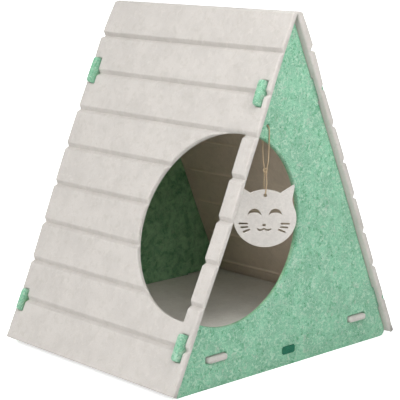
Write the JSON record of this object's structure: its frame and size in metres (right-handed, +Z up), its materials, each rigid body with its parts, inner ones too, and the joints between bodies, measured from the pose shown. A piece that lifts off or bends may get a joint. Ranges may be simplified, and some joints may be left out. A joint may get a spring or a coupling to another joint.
{
  "type": "felt cat cave",
  "caption": "A-frame cat cave of slotted felt panels with pressed plank grooves, a round entrance across its front corner, a raised floor and a hanging cat's head tag.",
  "frame": {"origin": "on the floor under the middle of the house's box, the hanging tag and its twine left out", "axes": "+X across the gables, to the right seen from the front; -Y out of the front gable; +Z up"},
  "size_m": [0.4262, 0.3662, 0.4688],
  "materials": {
    "off_white_felt": "dense needled felt, off-white with faint grey mottling",
    "green_felt": "dense needled felt, mottled mint green",
    "tag_felt": "thin pressed felt, off-white",
    "jute_twine": "two-ply natural jute",
    "patch_cloth": "plain dark green cloth, no lettering"
  },
  "bodies": {
    "root": {"roof": "off_white_felt", "gable_front": "green_felt", "gable_back": "green_felt", "floor_panel": "off_white_felt", "cat_tag": "tag_felt", "string_upper": "jute_twine", "string_lower": "jute_twine", "string_knot": "jute_twine", "label_patch": "patch_cloth"}
  },
  "joints": []
}
